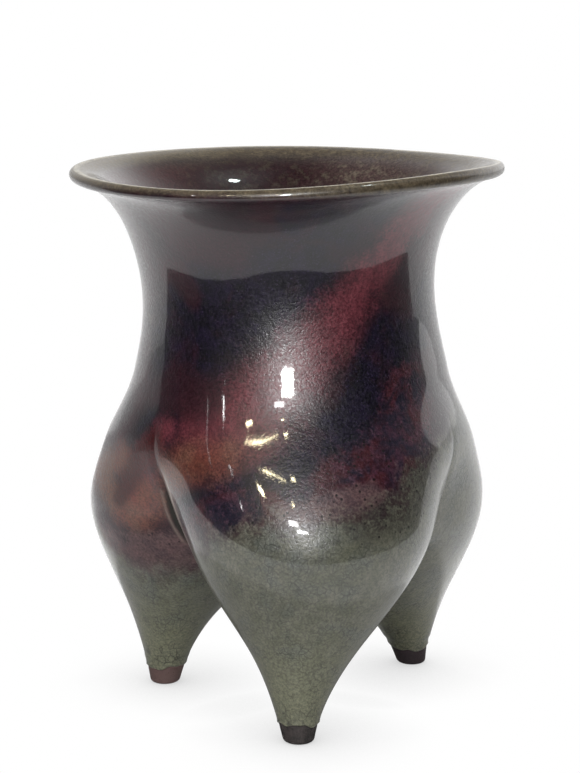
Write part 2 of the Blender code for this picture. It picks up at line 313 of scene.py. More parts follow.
class Skin:
    """One side of the wall: the outer surface, or the surface of the hollow one wall inside it."""

    def __init__(self, inner):
        self.inner = inner
        self.depth = WALL if inner else 0.0
        self.distance = distance_to_hollow if inner else distance_to_pot
        self.touch = [height_where(lambda z: self.legs_apart(k, z), 0.0, ROOT_HEIGHT) for k in range(3)]
        self.crotch = height_where(self.open_between, 0.0, ROOT_HEIGHT)

    def radius(self, z):
        return leg_radius(z) - self.depth * np.sqrt(1 + radius_slope(z) ** 2)

    def pair(self, k, z):
        """Middle between leg k and the leg after it, the way out between them and half their distance."""
        left = leg_lean(LEGS[k], z)
        right = leg_lean(LEGS[(k + 1) % 3], z)
        across = right - left
        length = np.linalg.norm(across, axis=-1)
        outward = np.stack([across[..., 1], -across[..., 0]], -1) / length[..., None]
        return (left + right) / 2 * spread(z)[..., None], outward, length / 2 * spread(z)

    def legs_apart(self, k, z):
        """Whether leg k and the leg after it stand clear of each other at height z."""
        return self.pair(k, np.array(z))[2] > self.radius(z)

    def middle_of_legs(self, z):
        """Centre and radius of the circle through the centre lines of the three legs at height z."""
        a, b, c = (leg_lean(leg, z) for leg in LEGS)
        centre = np.linalg.solve(2 * np.array([b - a, c - a]), [b @ b - a @ a, c @ c - a @ a])
        return centre * spread(z), np.linalg.norm(centre - a) * spread(z)

    def open_between(self, z):
        """Whether there is air in the middle between the three legs at height z."""
        return self.middle_of_legs(z)[1] > self.radius(z)

    def seam(self, k, z, side):
        """Where the circles of leg k and the next one cross: side 1 is outside, -1 is under the pot."""
        middle, outward, half = self.pair(k, z)
        rise = np.sqrt(np.maximum(self.radius(z) ** 2 - half**2, 0))
        return middle + side * outward * rise[..., None]

    def turn_of(self, k, flat, z):
        """Bearing of a spot as seen from the centre line of leg k, within half a turn of the leg's own."""
        away = flat - leg_centre(LEGS[k], z)
        own = math.radians(LEGS[k]["belly"][0])
        return own + (np.arctan2(away[..., 0], -away[..., 1]) - own + math.pi) % (2 * math.pi) - math.pi

    def on_leg(self, k, z, turn, out=0.0):
        """Points at heights z and bearings turn on leg k, or so far out of its surface."""
        flat = leg_centre(LEGS[k], z) + self.radius(z)[..., None] * towards(turn)
        return np.concatenate([flat + towards(turn) * out, z[..., None]], -1)

    def from_seam_to_seam(self, k, z):
        """Points on the outside of leg k, from its left seam to its right one, at heights z."""
        left = self.turn_of(k, self.seam((k - 1) % 3, z, 1), z)
        right = self.turn_of(k, self.seam(k, z, 1), z)
        share = np.linspace(0, 1, COLUMNS + 1)
        share -= CROWDING * np.sin(2 * math.pi * share) / (2 * math.pi)
        return self.on_leg(k, z, left + (right - left) * share)

    def under_seam(self, k, share):
        """Points on the seam under the pot, from where leg k and the next one touch to the middle."""
        z = self.touch[k] + (self.crotch - self.touch[k]) * share**2
        flat = self.seam(k, z, -1)
        flat[share == 1] = self.middle_of_legs(self.crotch)[0]
        return np.concatenate([flat, z[..., None]], -1)

    def neck(self, k):
        """The flare above leg k. The outer skin's starts with the rounding of the lip."""
        line, normal, depth = neck_profile()
        if self.inner:
            line = line - normal * (LIP_THICKNESS + (WALL - LIP_THICKNESS) * depth)
        else:
            turns = LIP_TILT + np.radians(np.linspace(180, 0, LIP_STEPS + 1)[:-1])
            middle = line[0] - normal[0] * LIP_THICKNESS / 2
            arc = middle + LIP_THICKNESS / 2 * np.stack([np.sin(turns), -np.cos(turns)], 1)
            line = np.concatenate([arc, line])
        waist = self.from_seam_to_seam(k, np.full(COLUMNS + 1, WAIST_HEIGHT))
        way = waist[:, :2] / np.linalg.norm(waist[:, :2], axis=1)[:, None]
        return np.array([np.column_stack([radius * way, np.full(len(way), z)]) for radius, z in line])

    def body(self, k):
        share = np.linspace(0, 1, COLUMNS + 1)
        down = np.linspace(0, 1, BODY_STEPS + 1)[:, None]
        lowest = self.touch[k - 1] + (self.touch[k] - self.touch[k - 1]) * share
        return self.from_seam_to_seam(k, WAIST_HEIGHT + (lowest - WAIST_HEIGHT) * down)

    def leg(self, k):
        """Rings down leg k, from where the legs part to just above the foot, or to the pocket's floor."""
        halves = np.linspace(0, 1, CROTCH_COLUMNS // 2 + 1)
        outside = self.body(k)[-1]
        under = [self.under_seam(k, halves[1:]), self.under_seam((k - 1) % 3, halves[-2:0:-1])]
        top = np.concatenate([outside, *under, outside[:1]])
        turns = np.unwrap(self.turn_of(k, top[:, :2], top[:, 2]))
        end = POCKET_FLOOR if self.inner else EDGE_TOP
        down = np.linspace(0, 1, LEG_STEPS + 1)[1:, None]
        rings = self.on_leg(k, top[:, 2] + (end - top[:, 2]) * down, turns)
        return np.concatenate([top[None], rings]), turns

    def foot(self, k, ring, turns):
        """The roll of the glaze, the bare clay below it, and the foot's rounded edge and flat underside."""
        edge = glaze_edge(k, turns)
        first = edge + GLAZE_ROLL[0][0]
        last = edge + GLAZE_ROLL[-1][0]
        rows = [ring]
        for share in np.linspace(0, 1, LEAD_ROWS + 2)[1:-1]:
            rows.append(self.on_leg(k, EDGE_TOP + (first - EDGE_TOP) * share, turns))
        for above, out in GLAZE_ROLL:
            rows.append(self.on_leg(k, edge + above, turns, out))
        for share in np.linspace(0, 1, BARE_ROWS + 1)[1:]:
            rows.append(self.on_leg(k, last + (FOOT_EDGE - last) * share, turns, -BARE_DEPTH))
        for step in np.radians(np.linspace(90, 0, EDGE_STEPS + 1))[1:]:
            height = np.full(len(turns), FOOT_EDGE * (1 - math.cos(step)))
            deeper = BARE_DEPTH + FOOT_EDGE * (1 - math.sin(step))
            rows.append(self.on_leg(k, height, turns, -deeper))
        sole = rows[-1]
        middle = np.append(leg_centre(LEGS[k], 0.0), 0.0)
        rows += [middle + (sole - middle) * share for share in SOLE_RINGS]
        return np.array(rows)

    def pocket_floor(self, k, ring, turns):
        """Rings on the floor of a pocket, from its wall to its middle."""
        rows = [ring]
        edge = self.radius(np.array(POCKET_FLOOR))
        for step in np.radians(np.linspace(90, 0, EDGE_STEPS + 1))[1:]:
            row = self.on_leg(k, np.full(len(turns), POCKET_FLOOR), turns)
            row[:, :2] -= towards(turns) * edge * (1 - math.sin(step))
            rows.append(row)
        return np.array(rows)

    def from_cleft(self, k, points):
        """How far each point is from the cleft after leg k, towards that leg, and whether it is outside."""
        middle, outward, _ = self.pair(k, points[:, 2])
        away = points[:, :2] - middle
        across = away[:, 0] * outward[:, 1] - away[:, 1] * outward[:, 0]
        return across, (away * outward).sum(1) > 0

    def groove_depth(self, points):
        """How deep the grooves along the clefts are at each point, with the slit in the left one."""
        z = points[:, 2]
        depth = np.zeros(len(points))
        for k, share in enumerate(GROOVE_SHARES):
            across, outside = self.from_cleft(k, points)
            near = fading(abs(across), GROOVE_WIDTH) ** 2 * outside
            depth = np.maximum(depth, share * near * at_height(z, GROOVE))
        across, outside = self.from_cleft(0, points)
        return depth + fading(abs(across), SLIT_WIDTH) * outside * at_height(z, SLIT)

    def cleft_painted_light(self, points):
        """How strongly each painted shade, highlight and reflection beside the left cleft shows at each
        point.
        """
        z = points[:, 2]
        across, outside = self.from_cleft(0, points)
        heights, middles, halves = np.array(CREVICE_SHADE).T
        beyond = abs(across - np.interp(z, heights, middles)) - np.interp(z, heights, halves)
        within = outside * (z > heights[0]) * (z < heights[-1])
        off_highlight_line = abs(across - at_height(z, HIGHLIGHT_LINE))
        shows = at_height(z, HIGHLIGHT_LINE_SHOWS) * outside
        # Painted shade in the crevice, painted highlights on its outline and along a pale line, a painted
        # reflection on the flank
        return {
            "crevice_shade": fading(beyond, CREVICE_SHADE_SOFT, 0.5) * within,
            "outline_highlight": fading(abs(beyond - OUTLINE_HIGHLIGHT_AWAY), OUTLINE_HIGHLIGHT_WIDTH) * within * (across > 0),
            "highlight_line": fading(off_highlight_line, HIGHLIGHT_LINE_WIDTH) * shows,
            "flank_reflection": fading(off_highlight_line, FLANK_REFLECTION_WIDTH, FLANK_REFLECTION_TOP) * shows,
        }

    def surface(self):
        """Points and faces of the whole skin, settled onto its shape."""
        patches = []
        for k in range(3):
            rings, turns = self.leg(k)
            patches.append((self.neck(k), False))
            patches.append((self.body(k), True))
            patches.append((rings, True))
            end = self.pocket_floor if self.inner else self.foot
            patches.append((end(k, rings[-1], turns), self.inner))
        points, faces, loose = weld(patches)
        settle(points, faces, loose, self.distance)
        return points, [face[::-1] for face in faces] if self.inner else faces


def weld(patches):
    """Points, faces and which points may move, of patches whose shared points are made one."""
    places = {}
    points = []
    loose = []
    faces = []
    for grid, moves in patches:
        keys = np.round(grid / SAME_POINT).astype(int)
        index = np.empty(grid.shape[:2], int)
        for spot in np.ndindex(index.shape):
            key = tuple(keys[spot])
            if key not in places:
                places[key] = len(points)
                points.append(grid[spot])
                loose.append(moves)
            index[spot] = places[key]
            loose[places[key]] &= moves
        quads = np.stack([index[:-1, :-1], index[1:, :-1], index[1:, 1:], index[:-1, 1:]], -1)
        for quad in quads.reshape(-1, 4).tolist():
            face = [corner for n, corner in enumerate(quad) if corner != quad[n - 1]]
            if len(face) > 2:
                faces.append(face)
    return np.array(points), faces, np.array(loose)


def settle(points, faces, loose, distance):
    """Evens out the loose points along the surface and lays them where distance is 0."""
    edges = {tuple(sorted(edge)) for face in faces for edge in zip(face, face[1:] + face[:1])}
    starts, ends = np.array(sorted(edges)).T
    count = np.bincount(np.concatenate([starts, ends]), minlength=len(points))[:, None]
    nudges = np.eye(3) * NUDGE
    for _ in range(SETTLING_ROUNDS):
        total = np.zeros_like(points)
        np.add.at(total, starts, points[ends])
        np.add.at(total, ends, points[starts])
        spots = points[loose]
        pull = (total / count)[loose] - spots
        rise = [(distance(spots + nudge) - distance(spots - nudge)) / (2 * NUDGE) for nudge in nudges]
        steepest = np.stack(rise, 1)
        steepness = (steepest**2).sum(1, keepdims=True)
        pull -= steepest * (pull * steepest).sum(1, keepdims=True) / steepness
        spots += pull / 2
        for _ in range(PRESSES):
            spots -= steepest * (distance(spots)[:, None] / steepness)
        points[loose] = spots


def out_of_true(points):
    """The sway and the waving lip of a pot made by hand. The feet stay where they are."""
    x, y, z = points.T
    bearing = np.arctan2(x, -y)
    up = np.clip((z - WAIST_HEIGHT) / (HEIGHT - WAIST_HEIGHT), 0, 1) ** 2
    wave = sum(share * np.sin(count * bearing + math.radians(phase)) for count, share, phase in LIP_WAVES)
    sway = MOST_SWAY * SWAY_CURVE(np.clip(z / HEIGHT, 0, 1))
    return np.stack([x + sway, y, z + MOST_WAVE * wave * up], 1)


def below_glaze(points):
    """Which points lie on the bare tip of a foot."""
    z = points[:, 2]
    bare = np.zeros(len(points), bool)
    for k, leg in enumerate(LEGS):
        away = points[:, :2] - leg_centre(leg, z)
        turn = np.arctan2(away[:, 0], -away[:, 1])
        near = np.hypot(away[:, 0], away[:, 1]) < 2 * FOOT_RADIUS
        bare |= near & (z < glaze_edge(k, turn) + 2 * NUDGE)
    return bare


# Unevenness left by the hand: height of the bumps and how far apart they lie. They grow over this height,
# from half of it up, so the feet stay flat
BUMPS = ((0.00006, 0.02), (0.000006, 0.007))
BUMPS_GROW = 0.004
# How far the neck's and the lip's surface is drawn in, and over which height above the waist that grows
LIP_INSET = 0.0002
INSET_GROWS = 0.03
# The front is pressed a little flat above and is fuller below: height, how far out of the round, and how far
# up and down that reaches. Then the bearing of the middle and the reach to both sides
PRESSED = ((0.12, -0.0009, 0.013), (0.1, 0.0004, 0.01))
PRESSED_MIDDLE = math.radians(-15)
PRESSED_WIDE = math.radians(28)


def read(items, name, size=1):
    """One value of each item, or size of them, in a row."""
    values = np.empty(len(items) * size)
    items.foreach_get(name, values)
    return values


def hand_work(mesh):
    """Raises and lowers the surface a little, but not the underside of the feet."""
    points = read(mesh.vertices, "co", 3).reshape(-1, 3)
    normals = read(mesh.vertex_normals, "vector", 3).reshape(-1, 3)
    x, y, z = points.T
    rise = np.zeros(len(points))
    for height, apart in BUMPS:
        rise += height * np.array([noise.noise(Vector(spot) / apart) for spot in points])
    rise *= np.clip(z / BUMPS_GROW - 0.5, 0, 1)
    rise -= LIP_INSET * np.clip((z - WAIST_HEIGHT) / INSET_GROWS, 0, 1)
    rise -= read(mesh.attributes["groove"].data, "value")
    bearing = np.arctan2(x, -y)
    pressed = sum(out * np.exp(-((z - middle) / reach) ** 2) for middle, out, reach in PRESSED)
    rise += pressed * np.exp(-((bearing - PRESSED_MIDDLE) / PRESSED_WIDE) ** 2)
    points += normals * rise[:, None]
    mesh.vertices.foreach_set("co", points.ravel())
    mesh.update()


# Where the colours lie on the outside. A path runs through spots of bearing in degrees, height and
# half-width in millimetres. Past 180 degrees it goes on round the back
AROUND = 68.0
BAND = (
    ((-30, 128, 15), (-20, 133, 18), (-10, 143, 19), (2, 155, 17), (15, 171, 14), (28, 186, 13),
     (38, 199, 13), (45, 210, 13), (52, 224, 12), (60, 236, 11)),
    ((-44, 128, 8), (-54, 117, 10), (-61, 104, 10), (-64, 94, 10)),
    ((96, 126, 12), (115, 142, 18), (138, 158, 17), (160, 178, 15), (180, 198, 13), (196, 214, 12)),
    ((-150, 128, 14), (-128, 146, 17), (-110, 166, 15), (-96, 190, 12)),
)
WINE = (
    ((-46, 144, 12), (-30, 143, 10)),
    ((-44, 192, 7), (-38, 182, 6)),
    ((-34, 208, 10), (-20, 203, 11)),
    ((44, 184, 8), (50, 180, 7)),
)
NAVY = (
    ((66, 178, 10), (54, 168, 12), (42, 161, 16), (33, 150, 13), (23, 137, 9), (10, 126, 8),
     (-2, 115, 8), (-12, 107, 8), (-26, 100, 8), (-36, 94, 7)),
    ((-48, 162, 18), (-30, 174, 22), (-10, 186, 20), (6, 194, 15)),
    ((4, 216, 8), (20, 214, 9), (30, 222, 8)),
    ((-46, 133, 8), (-56, 126, 7)),
    ((88, 160, 14), (108, 178, 16), (130, 196, 16)),
    ((124, 124, 11), (146, 138, 14), (170, 152, 13), (190, 168, 12)),
    ((-130, 176, 16), (-112, 200, 14)),
)
PLUM = (
    ((47, 140, 13), (40, 126, 14), (25, 118, 12), (8, 108, 8)),
    ((-34, 90, 6), (-24, 96, 7), (-10, 103, 7), (8, 106, 6)),
    ((112, 122, 10), (140, 122, 13), (168, 130, 13), (196, 138, 12)),
)
MAUVE = (
    ((-46, 76, 8), (-58, 72, 10), (-72, 66, 11), (-88, 66, 11)),
    ((2, 102, 5), (14, 105, 6), (24, 108, 5)),
)
EMBER = (
    ((-44, 112, 12), (-32, 117, 11), (-20, 122, 9)),
    ((-58, 98, 12), (-66, 86, 12), (-80, 98, 10)),
    ((-66, 112, 8), (-76, 107, 9), (-90, 100, 10)),
    ((100, 130, 8), (118, 138, 9)),
)
STREAK = (((-50, 121, 8), (-58, 113, 8), (-66, 102, 6), (-72, 92, 4)),)
MATT = (
    ((-48, 124, 10), (-58, 118, 14), (-68, 104, 16), (-80, 100, 14)), ((-70, 115, 7), (-84, 108, 9)),
    ((-60, 76, 12), (-78, 76, 12)),
)
DULL = (
    ((-13, 124, 5), (-11, 117, 7), (-15, 110, 8), (-19, 101, 6)), ((-21, 123, 5), (-20, 112, 6)),
)
DARK_PATCHES = (
    ((24, 98, 10), (34, 103, 12), (46, 112, 10)),
    ((-60, 80, 6), (-50, 82, 5)),
    ((150, 108, 9), (172, 112, 9)),
)
# Where the grey-green begins: bearing, height
GREEN_BELOW = (
    (-180, 92), (-150, 90), (-125, 92), (-100, 88), (-84, 66), (-74, 58), (-50, 60), (-34, 80), (-22, 88),
    (-10, 94), (3, 97), (17, 100), (34, 107), (50, 118), (70, 130), (92, 130), (118, 114), (150, 100),
    (180, 92),
)
ZONES = {
    "band": BAND, "wine": WINE, "navy": NAVY, "plum": PLUM, "mauve": MAUVE, "ember": EMBER,
    "streak": STREAK, "dark_patches": DARK_PATCHES, "matt": MATT, "dull": DULL,
}
# Fields that follow the height: where in millimetres each is 0 and where it is 1
LEVELS = {"low": (75, 15), "rim": (222, 232), "depth": (232, 218)}
# Over how many millimetres the grey-green sets in, and the width in metres of the field from left to right
GREEN_SOFT = 50
WIDTH_SOFT = 0.12
# How warm the bare clay is round the pot: bearing, share
CLAY_TONE = ((-180, 0.8), (-90, 1), (-20, 0.5), (20, 0.5), (90, 0), (180, 0))
# How far below its top the crest of the lip carries a painted highlight, a pale line
CREST_HIGHLIGHT_DEPTH = 0.00016


def closeness(bearing, height, paths):
    """1 along the middle of the nearest path, 0 at its edge and less outside it."""
    scale = np.array([math.radians(1) * AROUND, 1])
    best = np.full(len(bearing), -np.inf)
    for path in paths:
        for start, end in zip(path, path[1:]):
            a = np.array(start[:2]) * scale
            along = np.array(end[:2]) * scale - a
            for turn in (-360, 0, 360):
                spot = np.stack([bearing + turn, height], -1) * scale - a
                share = np.clip(spot @ along / (along @ along), 0, 1)
                gap = np.linalg.norm(spot - share[:, None] * along, axis=1)
                best = np.maximum(best, 1 - gap / (start[2] + (end[2] - start[2]) * share))
    return best


def colour_fields(points):
    """For each field of colour, how deep inside it a point lies: 0.5 at its edge."""
    bearing = np.degrees(np.arctan2(points[:, 0], -points[:, 1]))
    height = points[:, 2] * 1000
    fields = {}
    for name, paths in ZONES.items():
        fields[name] = np.clip(0.5 + closeness(bearing, height, paths) / 2, 0, 1)
    for name, (none, full) in LEVELS.items():
        fields[name] = np.clip((height - none) / (full - none), 0, 1)
    begins = np.interp(bearing, *np.array(GREEN_BELOW, float).T)
    fields["green"] = np.clip(0.5 + (begins - height) / GREEN_SOFT, 0, 1)
    fields["tone"] = np.interp(bearing, *np.array(CLAY_TONE).T)
    fields["right"] = np.clip(0.5 + points[:, 0] / WIDTH_SOFT, 0, 1)
    return fields


def colour(red, green, blue):
    """A colour given as it looks on a screen, 0 to 255, as the shader wants it."""
    line = [(part / 255 + 0.055) / 1.055 for part in (red, green, blue)]
    return (*[part**2.4 for part in line], 1)


# How far a bump of full height stands out
BUMP_DISTANCE = 0.0004


class Nodes:
    """Builds the nodes of a material or of the world, bottom up."""

    def __init__(self, owner, coordinates):
        owner.use_nodes = True
        self.owner = owner
        self.tree = owner.node_tree
        self.tree.nodes.clear()
        self.place = self.make("ShaderNodeTexCoord")[coordinates]

    def make(self, kind, inputs=None, **settings):
        """Adds a node, sets or links its inputs and gives back its outputs."""
        node = self.tree.nodes.new(kind)
        for key, value in settings.items():
            setattr(node, key, value)
        for key, value in (inputs or {}).items():
            if isinstance(value, bpy.types.NodeSocket):
                self.tree.links.new(value, node.inputs[key])
            else:
                node.inputs[key].default_value = value
        return node.outputs

    def field(self, name):
        return self.make("ShaderNodeAttribute", attribute_name=name)["Fac"]

    def calculate(self, kind, a, b, c=0):
        return self.make("ShaderNodeMath", {0: a, 1: b, 2: c}, operation=kind)[0]

    def times(self, first, *others):
        for other in others:
            first = self.calculate("MULTIPLY", first, other)
        return first

    def step(self, value, low, high, start=0, end=1):
        """Goes smoothly from start to end while the value goes from low to high."""
        inputs = {"Value": value, "From Min": low, "From Max": high, "To Min": start, "To Max": end}
        return self.make("ShaderNodeMapRange", inputs, interpolation_type="SMOOTHSTEP")[0]

    def number(self, share, a, b):
        """The number a, or b where share is 1."""
        return self.make("ShaderNodeMix", {0: share, 2: a, 3: b}, data_type="FLOAT")[0]

    def mix(self, share, a, b, kind="MIX"):
        """The colour a, or b where share is 1."""
        return self.make("ShaderNodeMix", {0: share, 6: a, 7: b}, data_type="RGBA", blend_type=kind)[2]

    def over(self, base, value, low, high, tone, start=0, end=1):
        """The base with a tone laid over it, whose strength is a step of the value."""
        return self.mix(self.step(value, low, high, start, end), base, tone)

    def noise(self, size, detail, rough, warp=0):
        """Noise whose largest features are about size metres across."""
        inputs = {"Vector": self.place, "Scale": 1 / size, "Detail": detail}
        inputs.update({"Roughness": rough, "Distortion": warp})
        return self.make("ShaderNodeTexNoise", inputs)["Fac"]

    def cells(self, size, feature, place):
        inputs = {"Vector": place, "Scale": 1 / size}
        return self.make("ShaderNodeTexVoronoi", inputs, feature=feature)["Distance"]

    def ragged(self, field, parts, low, high):
        """A field of colour whose edge is broken up by the noises in parts: (noise, how much)."""
        for part, amount in parts:
            field = self.calculate("SUBTRACT", field, amount / 2)
            field = self.calculate("MULTIPLY_ADD", part, amount, field)
        return self.step(field, low, high)

    def bump(self, height, strength):
        inputs = {"Height": height, "Strength": strength, "Distance": BUMP_DISTANCE}
        return self.make("ShaderNodeBump", inputs)[0]

    def principled(self, inputs):
        """Ends a material with its shader and gives it back."""
        shader = self.make("ShaderNodeBsdfPrincipled", inputs)["BSDF"]
        self.make("ShaderNodeOutputMaterial", {"Surface": shader})
        return self.owner


# Size of the cells of the large and the fine crackle and of the dark specks. Then the scale of the noise
# that bends the cracks, and how far
CRACKLE = 0.0032
FINE_CRACKLE = 0.0013
SPECK_CELLS = 0.0028
WANDER_SCALE = 300.0
WANDER = 0.0022
# By how much the grain darkens and lightens the glaze at most
GRAIN_DARK = (0.62, 0.62, 0.65, 1)
GRAIN_LIGHT = (1.46, 1.44, 1.42, 1)
# Painted shade, highlights and reflection beside the left cleft, from the lowest to the topmost: name,
# strength, colour
CLEFT_PAINTED_LIGHT = (
    ("flank_reflection", 0.75, (122, 114, 106)), ("outline_highlight", 0.55, (128, 114, 104)), ("highlight_line", 0.8, (205, 199, 188)),
    ("crevice_shade", 0.92, (30, 31, 25)),
)


class GlazeNodes(Nodes):
    """The nodes of the glaze, with its noises from the largest to the finest."""

    def __init__(self):
        super().__init__(bpy.data.materials.new("glaze"), "Object")
        self.cloud = self.noise(0.026, 3, 0.55)
        self.drift = self.noise(0.014, 3, 0.6, warp=0.4)
        self.blotch = self.noise(0.006, 4, 0.62)
        self.mottle = self.noise(0.0026, 4, 0.72)
        self.grain = self.noise(0.001, 2, 0.6)
        self.dust = self.noise(0.0007, 2, 0.7)
        self.green = self.zone("green", 0.34, 0.66)
        lip = ((self.cloud, 0.15), (self.blotch, 0.25), (self.mottle, 0.2))
        self.rim = self.ragged(self.field("rim"), lip, 0.35, 0.75)

    def zone(self, name, low, high, strength=1):
        """How strongly a field of colour shows, with its edge broken up by the noises."""
        parts = (
            (self.cloud, 0.4), (self.drift, 0.3), (self.blotch, 0.4), (self.mottle, 0.3),
            (self.grain, 0.22),
        )
        return self.times(self.ragged(self.field(name), parts, low, high), strength)

    def night(self):
        """Navy that is nearly black, with dark red in it and a violet dust."""
        tone = self.over(colour(4, 1, 12), self.blotch, 0.35, 0.7, colour(18, 11, 32))
        tone = self.over(tone, self.drift, 0.5, 0.72, colour(34, 9, 24), end=0.8)
        return self.over(tone, self.dust, 0.5, 0.75, colour(46, 34, 62), end=0.55)

    def damson(self):
        """Blue-black and dark red, clouded with greyish pink."""
        tone = self.over(colour(18, 14, 30), self.drift, 0.42, 0.6, colour(50, 13, 21))
        tone = self.over(tone, self.blotch, 0.48, 0.68, colour(64, 34, 48), end=0.6)
        tone = self.over(tone, self.mottle, 0.52, 0.7, colour(84, 54, 68), end=0.45)
        return self.over(tone, self.dust, 0.52, 0.72, colour(74, 44, 58), end=0.4)

    def upper_body(self):
        """The dark upper body, with the colours that drift over it from the lowest to the topmost."""
        base = self.over(colour(28, 12, 22), self.cloud, 0.35, 0.65, colour(48, 19, 28))
        base = self.over(base, self.drift, 0.58, 0.72, colour(58, 46, 40), end=0.6)
        red = self.over(colour(76, 30, 38), self.blotch, 0.3, 0.7, colour(94, 42, 50))
        brown = self.over(colour(96, 50, 37), self.drift, 0.35, 0.65, colour(98, 65, 49))
        mauve = self.over(colour(60, 44, 48), self.blotch, 0.3, 0.7, colour(84, 62, 62))
        layers = (
            ("navy", 0.32, 0.62, 1, self.night()),
            ("plum", 0.34, 0.62, 1, self.damson()),
            ("band", 0.38, 0.92, 1, red),
            ("ember", 0.4, 0.92, 0.72, brown),
            ("wine", 0.35, 0.8, 0.8, colour(40, 13, 22)),
            ("mauve", 0.35, 0.7, 1, mauve),
        )
        for name, low, high, strength, tone in layers:
            base = self.mix(self.zone(name, low, high, strength), base, tone)
        parts = ((self.blotch, 0.3), (self.drift, 0.3))
        streak = self.ragged(self.field("streak"), parts, 0.35, 0.85)
        return self.mix(self.times(streak, 0.85), base, colour(48, 8, 8))

    def legs(self):
        """The thin grey-green of the legs, with dark patches on it."""
        base = self.over(colour(76, 77, 64), self.blotch, 0.35, 0.65, colour(88, 88, 76))
        base = self.over(base, self.drift, 0.45, 0.7, colour(79, 83, 78), end=0.8)
        base = self.over(base, self.cloud, 0.5, 0.7, colour(70, 72, 57), end=0.6)
        base = self.over(base, self.field("low"), 0.2, 1, colour(104, 105, 84), end=0.7)
        dark_tone = self.over(colour(34, 30, 29), self.mottle, 0.3, 0.7, colour(70, 70, 60))
        return self.mix(self.zone("dark_patches", 0.35, 0.75, 0.8), base, dark_tone)

    def inside(self):
        """Ash below the lip, partly a painted reflection of the white backdrop, and dark wine further down,
        both greyer towards the right.
        """
        right = self.field("right")
        mottled = self.calculate("ADD", self.mottle, self.calculate("MULTIPLY_ADD", self.blotch, 0.6, -0.3))
        flecks = self.step(mottled, 0.46, 0.66)
        deep = self.mix(self.times(flecks, 0.75), colour(30, 6, 13), colour(50, 42, 33))
        deep = self.over(deep, right, 0, 0.25, colour(60, 34, 35), 0.8, 0)
        dusty = self.mix(flecks, colour(66, 52, 50), colour(86, 77, 68))
        deep = self.over(deep, right, 0.5, 0.8, dusty, end=0.9)
        # Grey ash below the lip, partly a painted reflection of the white backdrop
        ash_and_reflection = self.over(colour(50, 45, 41), self.blotch, 0.3, 0.7, colour(66, 61, 54))
        ash_and_reflection = self.over(ash_and_reflection, right, 0.5, 1, colour(90, 84, 82))
        parts = ((self.cloud, 0.3), (self.blotch, 0.4), (self.mottle, 0.3))
        return self.mix(self.ragged(self.field("depth"), parts, 0.15, 0.72), ash_and_reflection, deep)

    def lip(self):
        """The brown lip, paler at the left."""
        base = self.over(colour(58, 49, 38), self.mottle, 0.3, 0.7, colour(88, 79, 62))
        return self.over(base, self.field("right"), 0.1, 0.4, colour(98, 90, 74), 0.6, 0)

    def speckled(self, base):
        """The base with grain, dark specks and pale stars."""
        shade = self.mix(self.step(self.grain, 0.25, 0.75), GRAIN_DARK, GRAIN_LIGHT)
        base = self.over(base, self.green, 0, 1, self.mix(1, base, shade, "MULTIPLY"), 1, 0.85)
        spots = self.step(self.cells(SPECK_CELLS, "F1", self.place), 0.16, 0.24, 1, 0)
        speck_zones = self.calculate("MAXIMUM", self.field("plum"), self.field("dark_patches"))
        shown = self.step(speck_zones, 0.35, 0.6, 0.12, 1)
        specks = self.times(spots, self.step(self.blotch, 0.4, 0.5), shown, 0.9)
        base = self.mix(specks, base, colour(9, 5, 9))
        stars = self.times(self.step(self.dust, 0.66, 0.76), self.step(self.drift, 0.4, 0.6), 0.22)
        return self.mix(stars, base, colour(120, 112, 112))

    def crackle(self):
        """Large cracks with fine ones between them, stronger at some places than at others."""
        wander = self.make("ShaderNodeTexNoise", {"Vector": self.place, "Scale": WANDER_SCALE})["Color"]
        inputs = {0: wander, 1: (WANDER, WANDER, WANDER), 2: self.place}
        bent = self.make("ShaderNodeVectorMath", inputs, operation="MULTIPLY_ADD")[0]
        large = self.step(self.cells(CRACKLE, "DISTANCE_TO_EDGE", bent), 0, 0.08, 1, 0)
        fine = self.step(self.cells(FINE_CRACKLE, "DISTANCE_TO_EDGE", bent), 0, 0.12, 0.35, 0)
        cracks = self.calculate("MAXIMUM", large, fine)
        return self.times(cracks, self.step(self.drift, 0.35, 0.65, 0.15, 1))

    def coat(self):
        """Strength of the clear coat: weaker on the lip and where it is matt, none where it is dull."""
        matt = self.ragged(self.field("matt"), ((self.cloud, 0.3), (self.blotch, 0.2)), 0.15, 0.75)
        # No clear coat on the painted crevice shade, nor where the glaze is dull
        dull = self.calculate("MAXIMUM", self.field("crevice_shade"), self.step(self.field("dull"), 0.5, 0.8))
        shiny = self.calculate("MULTIPLY_ADD", dull, -1, 1)
        level = self.step(self.rim, 0, 1, 0.74, 0.45)
        return self.times(level, self.step(matt, 0, 1, 1, 0.22), shiny)


